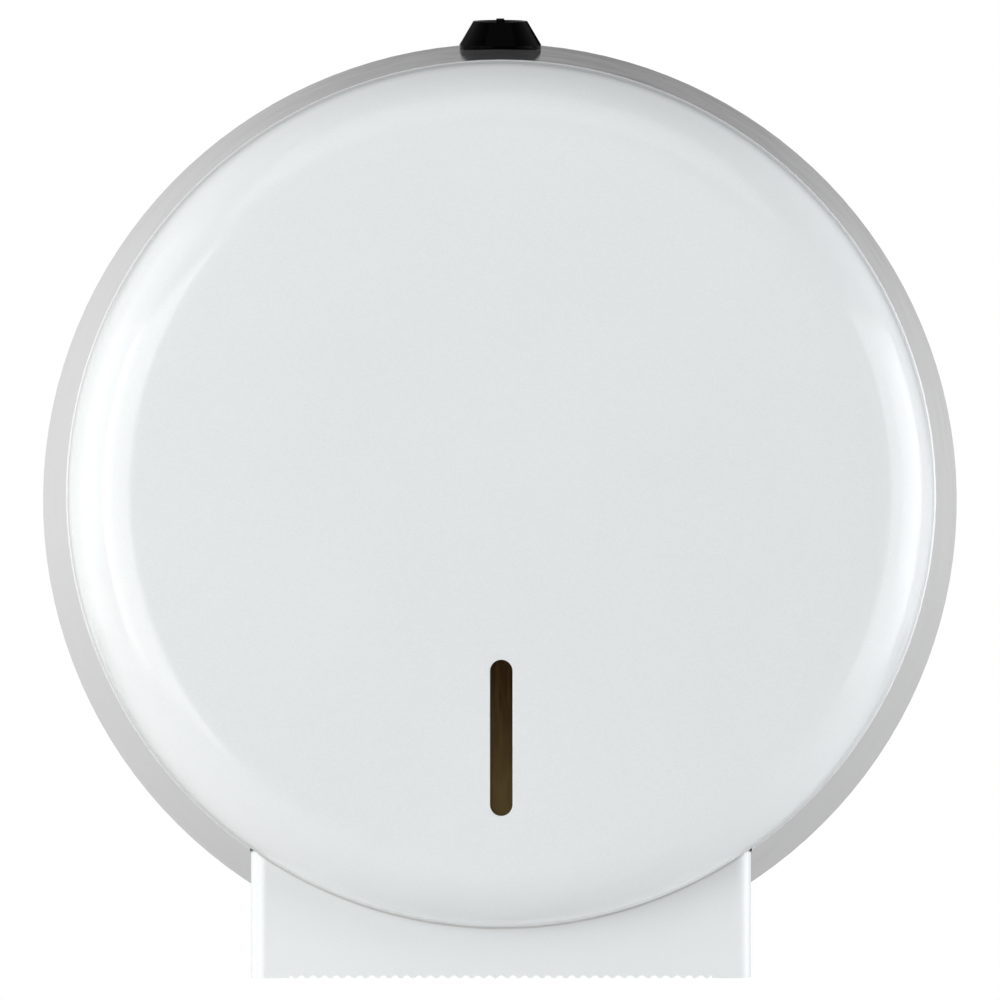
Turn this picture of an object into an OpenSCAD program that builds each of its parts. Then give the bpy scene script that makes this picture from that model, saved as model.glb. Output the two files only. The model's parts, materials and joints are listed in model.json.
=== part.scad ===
// Wall dispenser for jumbo toilet rolls.
// The wall is the plane y = 0, the front faces -Y, and the origin is the disc's centre on the wall.
// Shapes that turn about the dispenser's axis are drawn in (radius, depth), where depth is the
// distance from the wall, and on_wall() turns them to face the front.

/* [Side ring] */
// Outer diameter at the wall
ring_d = 278; // [260:1:300]
// Outer diameter at the front edge
front_d = 251.2; // [240:0.2:258]
// Distance from the wall to the front edge
front_depth = 103; // [96:1:115]
// Gap between the wall and the rear edge of the cover
rear_gap = 0.8; // [0.5:0.1:1.2]
// Wall of the side ring
ring_wall = 2.2; // [1.8:0.1:3]
// Width of the chamfer on the front edge
edge_cut = 0.5; // [0.3:0.1:0.8]
// Width of the inner flange and of the tabs beside the chute
flange_w = 10.4; // [9:0.2:12]
// Thickness of the inner flange and tabs
flange_t = 2.4; // [2:0.1:3]

/* [Front cover] */
// Height of the dish in front of the ring
dish_h = 23; // [20:1:28]
// How far the dish lies inside the ring's outer front edge
dish_in = 0.6; // [0.5:0.1:1.2]
// Radius of the rounded shoulder
shoulder_r = 22; // [16:1:22]
// Wall of the dish
dish_wall = 2.4; // [2:0.1:3]
// Number of screws round the flange
cover_screws_n = 8; // [8]
// Diameter of the screw bosses
boss_d = 7; // [6:0.5:8]

/* [Sight slot] */
// Width of the slot
slot_w = 6.4; // [5:0.2:9]
// Distance from the axis to the slot's upper end
slot_near = 47.6; // [44:0.2:56]
// Distance from the axis to the slot's lower end
slot_far = 92.1; // [80:0.1:94]
// Thickness of the window strip
window_t = 1.6; // [1.2:0.1:2]
// Margin of the window strip round the slot
window_rim = 4; // [3:0.5:6]
// How far the pane lies behind the face
pane_set = 0.9; // [0.5:0.1:1.5]

/* [Paper chute] */
// Outer width of the chute
chute_w = 144.5; // [130:0.5:150]
// How far the tear edge lies below the ring
chute_drop = 0.6; // [0:0.1:6]
// Wall of the chute
chute_wall = 2.4; // [2:0.1:3]
// Outer radius of the chute's corners
chute_r = 4.5; // [3.5:0.1:8]
// How far the chute lies behind the cover's rim
chute_set = 0.3; // [0.2:0.1:0.6]
// Number of teeth
teeth_n = 36; // [20:1:38]
// Distance from tooth to tooth
tooth_pitch = 3.39; // [3:0.01:3.4]
// Height of the teeth
tooth_h = 0.8; // [0.6:0.1:1.2]

/* [Hinge] */
// Distance from the wall to the hinge axis
hinge_depth = 9; // [9:0.5:11]
// Distance from the hinge axis to the tear edge
hinge_up = 8; // [7.5:0.1:8]
// Diameter of the hinge pins
hinge_pin_d = 5; // [4:0.5:5]
// Thickness of the hinge ears
ear_t = 3.4; // [3:0.1:5]
// Radius of the hinge ears
ear_r = 6.6; // [6:0.1:6.8]
// Wall of the hinge bushes
bush_wall = 1.5; // [1:0.1:1.5]
// Thickness of the bush flanges
bush_flange_t = 1; // [0.8:0.1:1.5]

/* [Back plate] */
// Gap between the plate's edge and the inside of the ring
plate_gap = 2.3; // [1.5:0.1:4]
// Thickness of the back plate
plate_t = 3; // [2.5:0.5:4]
// Spacing of the wall screws, across
wall_x = 140; // [110:5:150]
// Spacing of the wall screws, up
wall_z = 140; // [110:5:150]
// Diameter of the wall screw holes
wall_hole_d = 5.5; // [4.5:0.5:6]
// Width of the stiffening ribs
rib_w = 2; // [1.5:0.5:3]
// Height of the stiffening ribs
rib_h = 2; // [1:0.5:3]
// Distance from the plate's edge to the round rib
rib_in = 29.5; // [26:0.5:34]
// Diameter of the rubber buffers
buffer_d = 8; // [6:1:9]
// Height of the rubber buffers
buffer_h = 1.8; // [1.5:0.1:3]

/* [Lock] */
// Distance from the wall to the lock, along the depth
lock_at = 27; // [24:0.5:30]
// Diameter of the lock's base
lock_base_d = 24.6; // [24:0.2:26]
// Diameter of the lock's top
lock_top_d = 16.2; // [16.2:0.2:18]
// Height of the lock body over the ring
lock_h = 8; // [7:0.5:9]
// Diameter of the threaded barrel
barrel_d = 16; // [15:0.5:17]
// Length of the barrel behind the nut's seat
barrel_tail = 4.8; // [4.5:0.1:6]
// Diameter of the plug
plug_d = 10; // [9:0.5:11]
// Diameter of the plug's dished head
head_d = 13.6; // [13:0.2:14]
// Width of the finger bar
bar_w = 2.4; // [2:0.1:3]
// Height of the finger bar over the lock body
bar_over = 0.5; // [0:0.1:1]
// Width across the nut's flats
nut_af = 20; // [19:0.5:21]
// Thickness of the nut
nut_t = 3; // [2.5:0.5:3.5]
// Length of the cam from the lock's axis
cam_l = 18; // [16:0.5:19]
// Width of the cam
cam_w = 8; // [7:0.5:9]
// Thickness of the cam
cam_t = 2; // [1.5:0.5:2.5]

/* [Spindle and hub] */
// Diameter of the spindle post
post_d = 22; // [18:1:24]
// Diameter of the spindle flange
post_flange_d = 90; // [80:1:96]
// Thickness of the spindle flange
post_flange_t = 3; // [2.5:0.5:4]
// Diameter of the hub over its splines
hub_d = 57; // [50:1:58]
// Length of the hub
hub_l = 88; // [80:1:88]
// Diameter of the hub's rear flange
hub_flange_d = 86; // [76:1:90]
// Thickness of the hub's rear flange
hub_flange_t = 2.5; // [2:0.5:3]
// Wall of the hub
hub_wall = 2.5; // [2:0.5:3]
// Number of splines
splines_n = 12; // [8:2:16]
// Depth of the grooves between splines
spline_h = 1.2; // [0.8:0.1:1.5]
// Width of the grooves between splines
groove_w = 3; // [2:0.5:3.5]
// Wall of the hub's bushes
hub_bush_wall = 2.5; // [2:0.5:3]
// Length of the hub's bushes
hub_bush_l = 12; // [8:1:20]

/* [Hidden] */
$fn = 96;

// Fits
run_fit = 0.05; // radial gap of a turning fit
seat_fit = 0.02; // radial gap of a pressed or screwed fit
seat_gap = 0.1; // gap between faces that rest on each other
clear = 0.3; // gap between pieces that pass each other
tip_gap = 0.5; // from a screw's tip to the wall
cut = 1; // overrun of a cutting shape

// Side ring
ring_r = ring_d / 2;
front_r = front_d / 2;
slope = (ring_r - front_r) / (front_depth - rear_gap); // radius lost for each millimetre of depth
tilt = atan(slope);
function outer_at(depth) = ring_r - (depth - rear_gap) * slope;
function inner_at(depth) = outer_at(depth) - ring_wall;
flange_r = inner_at(front_depth) - flange_w;
dish_r = front_r - dish_in; // outer radius of the dish
screw_r = 1.7; // shank of the self-tapping screws
screw_head_r = 3.2;
screw_head_t = 2;
screw_l = 10;

// Front cover
face_depth = front_depth + dish_h;
shoulder_at = dish_r - shoulder_r; // radius where the flat face starts
boss_at = (flange_r + dish_r - dish_wall) / 2;
first_boss = 180 / cover_screws_n;

// Sight slot
window_w = slot_w + 2 * window_rim;
pane_h = dish_wall - pane_set;
stud_r = 1.5;
stud_h = 2 * window_t + 1;
stud_gap = 2.2; // from the slot's end to the stud's side
stud_off = stud_r + stud_gap;
stud_pad = 4; // from the stud to the strip's end
push_nut_t = 0.6;
push_nut_r = 4;

// Paper chute
chute_x = chute_w / 2;
chute_in = chute_x - chute_wall;
chute_low = ring_r + chute_drop; // distance from the axis to the tear edge
chute_front = front_depth - chute_set;
teeth_w = teeth_n * tooth_pitch;
tooth_r = (pow(tooth_pitch / 4, 2) + pow(tooth_h / 2, 2)) / tooth_h; // tips and valleys are equal arcs
chute_screw_depths = [30, 78];
chute_screw_l = 6.5;

// Hinge
hinge_z = hinge_up - chute_low;
hinge_bush_r = hinge_pin_d / 2 + run_fit + bush_wall;
ear_x = chute_in - bush_flange_t - clear; // outer face of an ear
hinge_head_t = 1.8;
hinge_head_r = hinge_pin_d / 2 + 1.5;

// Back plate
plate_r = ring_r - ring_wall - plate_gap;
rib_r = plate_r - rib_in;
wall_boss_w = 6; // wall round a wall screw's hole
room_side = 1;
room_front = 0.8;
plate_room = plate_r + room_side; // inner parts of the cover stay outside this radius beside the plate
plate_front = plate_t + room_front; // or in front of this depth
rib_gap = 2; // from the spindle's flange to a rib
ribs_n = 8;
buffer_in = 2;
buffer_at = plate_r - buffer_d / 2 - buffer_in;
buffer_angles = [38, 142, 200, 340];
stop_w = 6;
stop_h = 9;

// Lock, in its own frame: z is the ring's outward normal, 0 at the ring's outer face
pad_t = 1.4;
pad_w = 1.7;
pad_r = lock_base_d / 2 + pad_w;
seat_w = -ring_wall - pad_t; // face that the nut rests on
barrel_end = seat_w - barrel_tail;
barrel_r = barrel_d / 2;
plug_r = plug_d / 2;
head_r = head_d / 2;
head_t = 3.2;
head_low = lock_h - head_t; // underside of the plug's head
cam_top = barrel_end - seat_gap * 2;
cam_square = 6;
cam_screw_r = 1.6;
cam_screw_l = 7;
cam_head_r = 3.8;
cam_head_t = 1.8;
lip_t = 1.2; // how far the lock body's base reaches into the pad's place
band_h = 0.9; // straight band under the lock body's cone

// Where the cam's middle lies, and the catch round it
cam_mid = cam_top - cam_t / 2;
cam_depth = lock_at + cam_mid * sin(tilt);
cam_z = outer_at(lock_at) + cam_mid * cos(tilt);
catch_t = 2;
catch_gap = 0.7; // from the turned cam to the catch's lip
catch_room = 2.5; // from the cam's tip to the catch's arm
catch_reach = 5; // from the cam's side to the lip's free end
catch_w = 19;
catch_foot = 14;
catch_bend = 1; // inner bend radius
catch_screw_in = 5;
catch_lip_depth = cam_depth + cam_w / 2 + catch_gap; // rear face of the catch's lip
catch_arm_x = cam_l + catch_room; // inner face of the catch's arm
catch_lip_x = cam_w / 2 + catch_reach;
catch_top = cam_z + cam_t / 2;
catch_low = catch_top - catch_w;
catch_screw_x = catch_arm_x + catch_t + (catch_foot + 2 * catch_bend) / 2;
catch_screw_z = [catch_low + catch_screw_in, catch_top - catch_screw_in];

// Spindle and hub
post_r = post_d / 2;
post_wall = 3;
shoulder_w = 5;
shoulder_h = 2.6;
shoulder_post_r = post_r + shoulder_w;
flange_top = plate_t + post_flange_t;
washer_t = 0.8;
washer_w = 6;
washer_r = post_r + washer_w;
hub_rear = flange_top + shoulder_h + washer_t + 2 * seat_gap;
hub_front = hub_rear + hub_l;
clip_t = 1.2;
clip_depth = 1; // depth of the clip's groove in the post
clip_w = 4;
clip_gap = 4; // opening of the clip
post_over = 2.5; // from the clip to the post's end
clip_rear = hub_front + washer_t + 2 * seat_gap;
post_end = clip_rear + clip_t + post_over;
post_screw_in = 9;
post_screw_at = post_flange_d / 2 - post_screw_in;
hub_r = hub_d / 2;
hub_bush_r = post_r + run_fit + hub_bush_wall;
hub_core_wall = 2.4;
web_t = 2;
hub_lead = 2; // taper at the hub's front end

// Turns (x, up, depth) into the dispenser's frame
module on_wall() rotate([90, 0, 0]) children();

// Turns a drawing in (x, depth) upright and extrudes it from z0 to z1
module upright(z0, z1) translate([0, 0, z0]) mirror([0, 1, 0]) linear_extrude(z1 - z0) children();

// Places children in the lock's frame
module at_lock() translate([0, -lock_at, outer_at(lock_at)]) rotate([tilt, 0, 0]) children();

// Both the right and the left side
module both_sides() {
    children();
    mirror([1, 0, 0]) children();
}

// Solid inside a surface that follows the ring, at radius change dr, from depth d0 to d1
module inside_ring(dr, d0, d1) on_wall() translate([0, 0, d0])
    cylinder(r1 = outer_at(d0) + dr, r2 = outer_at(d1) + dr, h = d1 - d0);

// Square with rounded front corners, in (x, depth)
module round_front(half_w, depth, r) {
    translate([-half_w, 0]) square([2 * half_w, depth - r]);
    translate([r - half_w, 0]) square([2 * (half_w - r), depth]);
    for (x = [r - half_w, half_w - r]) translate([x, depth - r]) circle(r);
}

// Strip with round ends, from y0 down to y1
module round_strip(w, y0, y1) {
    translate([-w / 2, y1 + w / 2]) square([w, y0 - y1 - w]);
    for (y = [y0 - w / 2, y1 + w / 2]) translate([0, y]) circle(w / 2);
}

// Tube along z
module tube(r_out, r_in, h) difference() {
    cylinder(r = r_out, h = h);
    translate([0, 0, -cut]) cylinder(r = r_in, h = h + 2 * cut);
}

// Pan-head screw with its head's underside at 0, pointing down z
module screw(r, l, head_r, head_t) {
    translate([0, 0, -l]) cylinder(r = r, h = l + head_t / 2);
    difference() {
        intersection() {
            cylinder(r = head_r, h = head_t);
            translate([0, 0, head_t - head_r * 1.6]) sphere(head_r * 1.6);
        }
        for (a = [0, 90]) rotate(a) translate([-head_r / 2, -0.4, head_t / 2])
            cube([head_r, 0.8, head_t]);
    }
}

// ---- Back plate ----

// Places children at the four wall screws, in (x, up)
module at_wall_screws() for (x = [-0.5, 0.5], z = [-0.5, 0.5])
    translate([x * wall_x, z * wall_z, 0]) children();

module ear() {
    translate([ear_x - ear_t, -hinge_depth, hinge_z]) rotate([0, 90, 0]) cylinder(r = ear_r, h = ear_t);
    translate([ear_x - ear_t, -hinge_depth, hinge_z - ear_r]) cube([ear_t, hinge_depth, 2 * ear_r]);
}

module back_plate() color("gainsboro") difference() {
    union() {
        on_wall() {
            cylinder(r = plate_r, h = plate_t);
            translate([-ear_x, hinge_z - ear_r, 0]) cube([2 * ear_x, chute_low / 2, plate_t]);
            translate([0, 0, plate_t - cut]) tube(rib_r + rib_w / 2, rib_r - rib_w / 2, rib_h + cut);
            for (i = [0:ribs_n - 1]) rotate((i + 0.5) * 360 / ribs_n)
                translate([post_flange_d / 2 + rib_gap, -rib_w / 2, plate_t - cut])
                    cube([rib_r - post_flange_d / 2 - rib_gap, rib_w, rib_h + cut]);
            at_wall_screws() cylinder(r = wall_hole_d / 2 + wall_boss_w, h = plate_t + rib_h);
        }
        both_sides() ear();
    }
    on_wall() {
        translate([0, 0, -cut]) {
            at_wall_screws() cylinder(d = wall_hole_d, h = plate_t + rib_h + 2 * cut);
            for (i = [0:3]) rotate(45 + i * 90) translate([post_screw_at, 0, 0])
                cylinder(r = screw_r + seat_fit, h = plate_t + 2 * cut);
            for (z = catch_screw_z) translate([catch_screw_x, z, 0])
                cylinder(r = screw_r + seat_fit, h = plate_t + 2 * cut);
        }
    }
    translate([-ear_x - cut, -hinge_depth, hinge_z]) rotate([0, 90, 0])
        cylinder(r = hinge_pin_d / 2 + seat_fit, h = 2 * ear_x + 2 * cut);
}

// Bent strip, drawn in (x, depth): foot on the plate, arm forward, lip in front of the cam
module catch_strip() {
    arm_out = catch_arm_x + catch_t;
    lip_front = catch_lip_depth + catch_t;
    bend_out = catch_bend + catch_t;
    translate([arm_out + catch_bend, plate_t]) square([catch_foot - catch_bend, catch_t]);
    translate([catch_arm_x, plate_t + bend_out]) square([catch_t, lip_front - plate_t - 2 * bend_out]);
    translate([catch_lip_x, catch_lip_depth]) square([arm_out - bend_out - catch_lip_x, catch_t]);
    translate([arm_out + catch_bend, plate_t + bend_out]) intersection() {
        difference() {
            circle(bend_out);
            circle(catch_bend);
        }
        translate([-bend_out, -bend_out]) square(bend_out);
    }
    translate([arm_out - bend_out, lip_front - bend_out]) intersection() {
        difference() {
            circle(bend_out);
            circle(catch_bend);
        }
        square(bend_out);
    }
}

module lock_catch() color("silver") difference() {
    upright(catch_low, catch_top) catch_strip();
    on_wall() for (z = catch_screw_z) translate([catch_screw_x, z, plate_t - cut])
        cylinder(r = screw_r + seat_fit, h = catch_t + 2 * cut);
}

module catch_screws() color("silver") on_wall() for (z = catch_screw_z)
    translate([catch_screw_x, z, plate_t + catch_t])
        screw(screw_r, catch_t + plate_t - tip_gap, screw_head_r, screw_head_t);

module spindle() color("gainsboro") on_wall() difference() {
    union() {
        translate([0, 0, plate_t]) cylinder(d = post_flange_d, h = post_flange_t);
        translate([0, 0, plate_t]) cylinder(r = shoulder_post_r, h = post_flange_t + shoulder_h);
        translate([0, 0, plate_t]) cylinder(r = post_r, h = post_end - 1 - plate_t);
        translate([0, 0, post_end - 1]) cylinder(r1 = post_r, r2 = post_r - 1, h = 1);
    }
    translate([0, 0, plate_t - cut]) cylinder(r = post_r - post_wall, h = post_end - plate_t - 2);
    for (i = [0:3]) rotate(45 + i * 90) translate([post_screw_at, 0, plate_t - cut])
        cylinder(r = screw_r + seat_fit, h = post_flange_t + 2 * cut);
    translate([0, 0, clip_rear - seat_fit]) tube(post_r + cut, post_r - clip_depth, clip_t + 2 * seat_fit);
}

module spindle_screws() color("silver") on_wall() for (i = [0:3]) rotate(45 + i * 90)
    translate([post_screw_at, 0, flange_top])
        screw(screw_r, flange_top - tip_gap, screw_head_r, screw_head_t);

module hub_washers() color("white") on_wall() for (depth = [hub_rear, hub_front + washer_t + seat_gap * 2])
    translate([0, 0, depth - washer_t - seat_gap]) tube(washer_r, post_r + run_fit, washer_t);

module hub_clip() color("dimgray") on_wall() translate([0, 0, clip_rear]) difference() {
    tube(post_r - clip_depth + clip_w, post_r - clip_depth + seat_fit, clip_t);
    translate([-clip_gap / 2, 0, -cut]) cube([clip_gap, post_r + clip_w, clip_t + 2 * cut]);
}

module hinge_pins() color("silver") both_sides()
    translate([ear_x - ear_t, -hinge_depth, hinge_z]) rotate([0, 90, 0]) {
        cylinder(d = hinge_pin_d, h = chute_x - ear_x + ear_t - clear);
        translate([0, 0, -hinge_head_t]) cylinder(r = hinge_head_r, h = hinge_head_t);
    }

module rim_buffers() color("dimgray") on_wall() for (a = buffer_angles) rotate(a)
    translate([buffer_at, 0, plate_t]) cylinder(d = buffer_d, h = buffer_h);

// ---- Cover ----

// Half section of the dish in (radius, depth), drawn at inset t from its outer surface
module dish_half(t) {
    translate([0, front_depth]) square([shoulder_at, dish_h - t]);
    translate([0, front_depth]) square([shoulder_at + shoulder_r - t, dish_h - shoulder_r]);
    translate([shoulder_at, face_depth - shoulder_r]) intersection() {
        circle(shoulder_r - t);
        square(shoulder_r);
    }
}

module at_bosses(first, count) for (i = [0:count - 1])
    rotate(-90 + (first + 2 * i) * first_boss) translate([boss_at, 0, 0]) children();

module front_cover() color("white") on_wall() difference() {
    union() {
        rotate_extrude() difference() {
            dish_half(0);
            translate([0, -cut]) dish_half(dish_wall);
            dish_half(dish_wall);
        }
        intersection() {
            at_bosses(1, cover_screws_n) translate([0, 0, front_depth]) cylinder(d = boss_d, h = dish_h);
            rotate_extrude() dish_half(dish_wall / 2);
        }
        for (z = [stud_off - slot_near, -stud_off - slot_far])
            translate([0, z, face_depth - dish_wall - stud_h])
                cylinder(r = stud_r, h = stud_h + dish_wall / 2);
    }
    at_bosses(1, cover_screws_n) translate([0, 0, front_depth - cut])
        cylinder(r = screw_r + seat_fit, h = screw_l - flange_t + 0.5 + cut);
    translate([0, 0, face_depth - dish_wall - cut]) linear_extrude(dish_wall + 2 * cut)
        round_strip(slot_w, -slot_near, -slot_far);
}

// Half section of the ring in (radius, depth): chamfered wall, and the inner flange that carries the dish
module ring_half() {
    polygon([[ring_r, rear_gap], [outer_at(front_depth - edge_cut), front_depth - edge_cut],
        [front_r - edge_cut, front_depth], [inner_at(front_depth), front_depth],
        [inner_at(rear_gap), rear_gap]]);
    translate([flange_r, front_depth - flange_t])
        square([inner_at(front_depth) - flange_r + ring_wall / 2, flange_t]);
}

// Opening of the ring for the chute
module chute_opening(half_w) upright(-ring_d, 0)
    translate([-half_w, -cut]) square([2 * half_w, front_depth + 2 * cut]);

module ring_tabs() difference() {
    intersection() {
        inside_ring(-ring_wall / 2, rear_gap, front_depth);
        both_sides() upright(-ring_d, 0) translate([chute_x + seat_gap, rear_gap])
            square([flange_t, front_depth - rear_gap]);
    }
    inside_ring(-ring_wall - flange_w, rear_gap - cut, front_depth + cut);
    on_wall() translate([0, 0, -cut]) cylinder(r = plate_room, h = plate_front + cut);
}

module at_chute_screws() for (depth = chute_screw_depths) {
    mid = inner_at(depth) - flange_w / 2;
    translate([chute_in, -depth, -sqrt(pow(mid, 2) - pow(chute_x, 2))]) rotate([0, -90, 0]) children();
}

module side_ring() color("lightgray") difference() {
    union() {
        difference() {
            on_wall() rotate_extrude() ring_half();
            chute_opening(chute_x + seat_gap);
        }
        ring_tabs();
        at_lock() translate([0, 0, seat_w]) cylinder(r = pad_r, h = pad_t + ring_wall / 2);
        intersection() {
            inside_ring(-ring_wall / 2, rear_gap, front_depth);
            on_wall() for (a = buffer_angles) rotate(a)
                translate([buffer_at - buffer_d / 2, -stop_w / 2, plate_t + buffer_h + clear])
                    cube([buffer_d * 2, stop_w, stop_h]);
        }
    }
    at_lock() translate([0, 0, seat_w - cut]) cylinder(r = barrel_r + seat_gap, h = -seat_w + 2 * cut);
    on_wall() at_bosses(3, cover_screws_n - 2) translate([0, 0, front_depth - flange_t - cut])
        cylinder(r = screw_r + seat_gap, h = flange_t + 2 * cut);
    both_sides() at_chute_screws() translate([0, 0, -chute_screw_l - cut])
        cylinder(r = screw_r + seat_fit, h = chute_screw_l);
}

// What the tear edge lacks between and below its teeth, in (x, up) from the teeth's tips
module tooth_gaps() difference() {
    intersection() {
        union() {
            translate([-teeth_w / 2, -cut]) square([teeth_w, cut + tooth_h / 2]);
            for (i = [0:teeth_n]) translate([i * tooth_pitch - teeth_w / 2, tooth_h - tooth_r])
                circle(tooth_r);
        }
        translate([-teeth_w / 2, -cut]) square([teeth_w, cut + tooth_h]);
    }
    for (i = [0:teeth_n - 1]) translate([(i + 0.5) * tooth_pitch - teeth_w / 2, 0]) intersection() {
        translate([0, tooth_r]) circle(tooth_r);
        translate([-tooth_pitch / 2, 0]) square([tooth_pitch, tooth_h / 2]);
    }
}

module paper_chute() color("white") difference() {
    upright(-chute_low, 0) difference() {
        round_front(chute_x, chute_front, chute_r);
        translate([0, -cut]) round_front(chute_in, chute_front - chute_wall + cut, chute_r - chute_wall);
    }
    on_wall() translate([0, -chute_low, chute_front - chute_wall - cut])
        linear_extrude(chute_wall + 2 * cut) tooth_gaps();
    inside_ring(-ring_wall - flange_w, -cut, front_depth + cut);
    on_wall() translate([0, 0, -cut]) cylinder(r = plate_room, h = plate_front + cut);
    // Rear edge, rounded about the hinge so that it clears the wall as it swings
    translate([-chute_w, -hinge_depth, -chute_low - cut]) difference() {
        cube([2 * chute_w, hinge_depth + cut, hinge_up + cut]);
        translate([-cut, 0, hinge_up + cut]) rotate([0, 90, 0])
            cylinder(r = hinge_up, h = 2 * chute_w + 2 * cut);
    }
    translate([-chute_w, hinge_up - hinge_depth, -chute_low]) cube([2 * chute_w, hinge_depth, chute_low]);
    translate([-chute_w, -hinge_depth, hinge_z]) rotate([0, 90, 0])
        cylinder(r = hinge_bush_r + seat_fit, h = 2 * chute_w);
    on_wall() at_bosses(-1, 2) translate([0, 0, front_depth - 2 * chute_wall])
        cylinder(r = screw_r + seat_gap, h = 3 * chute_wall);
    both_sides() at_chute_screws() translate([0, 0, -2 * chute_wall])
        cylinder(r = screw_r + seat_gap, h = 3 * chute_wall);
}

module cover_screws() color("silver") on_wall() {
    at_bosses(3, cover_screws_n - 2) translate([0, 0, front_depth - flange_t]) mirror([0, 0, 1])
        screw(screw_r, screw_l, screw_head_r, screw_head_t);
    at_bosses(-1, 2) translate([0, 0, chute_front - chute_wall]) mirror([0, 0, 1])
        screw(screw_r, screw_l, screw_head_r, screw_head_t);
}

module chute_screws() color("silver") both_sides() at_chute_screws()
    screw(screw_r, chute_screw_l, screw_head_r, screw_head_t);

module sight_window() color("saddlebrown") on_wall() difference() {
    union() {
        translate([0, 0, face_depth - dish_wall - window_t]) linear_extrude(window_t)
            round_strip(window_w, stud_off + stud_pad - slot_near, -stud_off - stud_pad - slot_far);
        translate([0, 0, face_depth - dish_wall - window_t]) linear_extrude(window_t + pane_h)
            round_strip(slot_w - 2 * seat_gap, -slot_near - seat_gap, seat_gap - slot_far);
    }
    for (z = [stud_off - slot_near, -stud_off - slot_far])
        translate([0, z, face_depth - dish_wall - window_t - cut])
            cylinder(r = stud_r + seat_gap, h = window_t + 2 * cut);
}

module push_nuts() color("silver") on_wall() for (z = [stud_off - slot_near, -stud_off - slot_far])
    translate([0, z, face_depth - dish_wall - window_t - push_nut_t])
        tube(push_nut_r, stud_r + seat_fit, push_nut_t);

module hinge_bushes() color("white") both_sides()
    translate([chute_in - bush_flange_t, -hinge_depth, hinge_z]) rotate([0, 90, 0]) {
        tube(hinge_bush_r, hinge_pin_d / 2 + run_fit, bush_flange_t + chute_wall);
        tube(hinge_bush_r + 2, hinge_pin_d / 2 + run_fit, bush_flange_t);
    }

// ---- Lock ----

module lock_bezel() color("black") {
    difference() {
        at_lock() difference() {
            rotate_extrude() polygon([[0, -lip_t], [lock_base_d / 2, -lip_t], [lock_base_d / 2, band_h],
                [lock_top_d / 2, lock_h], [0, lock_h]]);
            translate([0, 0, head_low]) cylinder(r = head_r + run_fit, h = lock_h);
            translate([0, 0, -lip_t - cut]) cylinder(r = plug_r + run_fit, h = lock_h);
        }
        inside_ring(seat_fit, 0, front_depth);
    }
    at_lock() translate([0, 0, barrel_end]) tube(barrel_r, plug_r + run_fit, lip_t - barrel_end);
}

module lock_nut() color("silver") at_lock() translate([0, 0, seat_w - nut_t - seat_gap]) difference() {
    cylinder(d = nut_af / cos(30), h = nut_t, $fn = 6);
    translate([0, 0, -cut]) cylinder(r = barrel_r + seat_fit, h = nut_t + 2 * cut);
}

module lock_plug() color("black") at_lock() difference() {
    union() {
        difference() {
            translate([0, 0, head_low + seat_gap]) cylinder(r = head_r, h = lock_h - 0.6 - head_low);
            translate([0, 0, lock_h + head_r]) sphere(head_r * 1.35);
        }
        translate([0, 0, cam_top]) cylinder(r = plug_r, h = head_low + 0.6 - cam_top);
        intersection() {
            translate([-bar_w / 2, -head_r, head_low + 0.4])
                cube([bar_w, head_d, lock_h + bar_over - head_low - 0.4]);
            cylinder(r = head_r - 0.4, h = lock_h + bar_over);
        }
        translate([-cam_square / 2, -cam_square / 2, cam_top - cam_t])
            cube([cam_square, cam_square, cam_t + cut]);
    }
    translate([0, 0, cam_top - cam_t - cut]) cylinder(r = cam_screw_r + seat_fit, h = cam_screw_l + 2 * cut);
}

module lock_cam() color("silver") at_lock() translate([0, 0, cam_top - cam_t - seat_fit]) difference() {
    union() {
        cylinder(r = cam_w / 2 + 1.5, h = cam_t);
        translate([-cam_w / 2, 0, 0]) cube([cam_w, cam_l - cam_w / 2, cam_t]);
        translate([0, cam_l - cam_w / 2, 0]) cylinder(d = cam_w, h = cam_t);
    }
    translate([-cam_square / 2 - seat_fit, -cam_square / 2 - seat_fit, -cut])
        cube([cam_square + 2 * seat_fit, cam_square + 2 * seat_fit, cam_t + 2 * cut]);
}

module cam_screw() color("silver") at_lock() translate([0, 0, cam_top - cam_t - 2 * seat_fit])
    mirror([0, 0, 1]) screw(cam_screw_r, cam_screw_l, cam_head_r, cam_head_t);

// ---- Roll hub ----

module roll_hub() color("whitesmoke") on_wall() translate([0, 0, hub_rear]) difference() {
    union() {
        difference() {
            cylinder(r = hub_r, h = hub_l - hub_lead);
            for (i = [0:splines_n - 1]) rotate(i * 360 / splines_n)
                translate([hub_r - spline_h, -groove_w / 2, hub_flange_t])
                    cube([hub_r, groove_w, hub_l]);
            translate([0, 0, -cut])
                cylinder(r = hub_r - spline_h - hub_wall, h = hub_l - hub_wall + cut - hub_lead);
        }
        translate([0, 0, hub_l - hub_lead])
            cylinder(r1 = hub_r - spline_h, r2 = hub_r - spline_h - hub_lead, h = hub_lead);
        cylinder(r = hub_bush_r + hub_core_wall, h = hub_l);
        tube(hub_flange_d / 2, hub_r - hub_wall - spline_h, hub_flange_t);
        for (i = [0:5]) rotate(i * 60) translate([hub_bush_r, -web_t / 2, 0])
            cube([hub_r - hub_bush_r - hub_wall, web_t, hub_l - hub_wall]);
    }
    translate([0, 0, -cut]) cylinder(r = hub_bush_r + seat_fit, h = hub_l + 2 * cut);
}

module hub_bushes() color("ivory") on_wall() for (depth = [hub_rear, hub_front - hub_bush_l])
    translate([0, 0, depth]) tube(hub_bush_r, post_r + run_fit, hub_bush_l);

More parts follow.
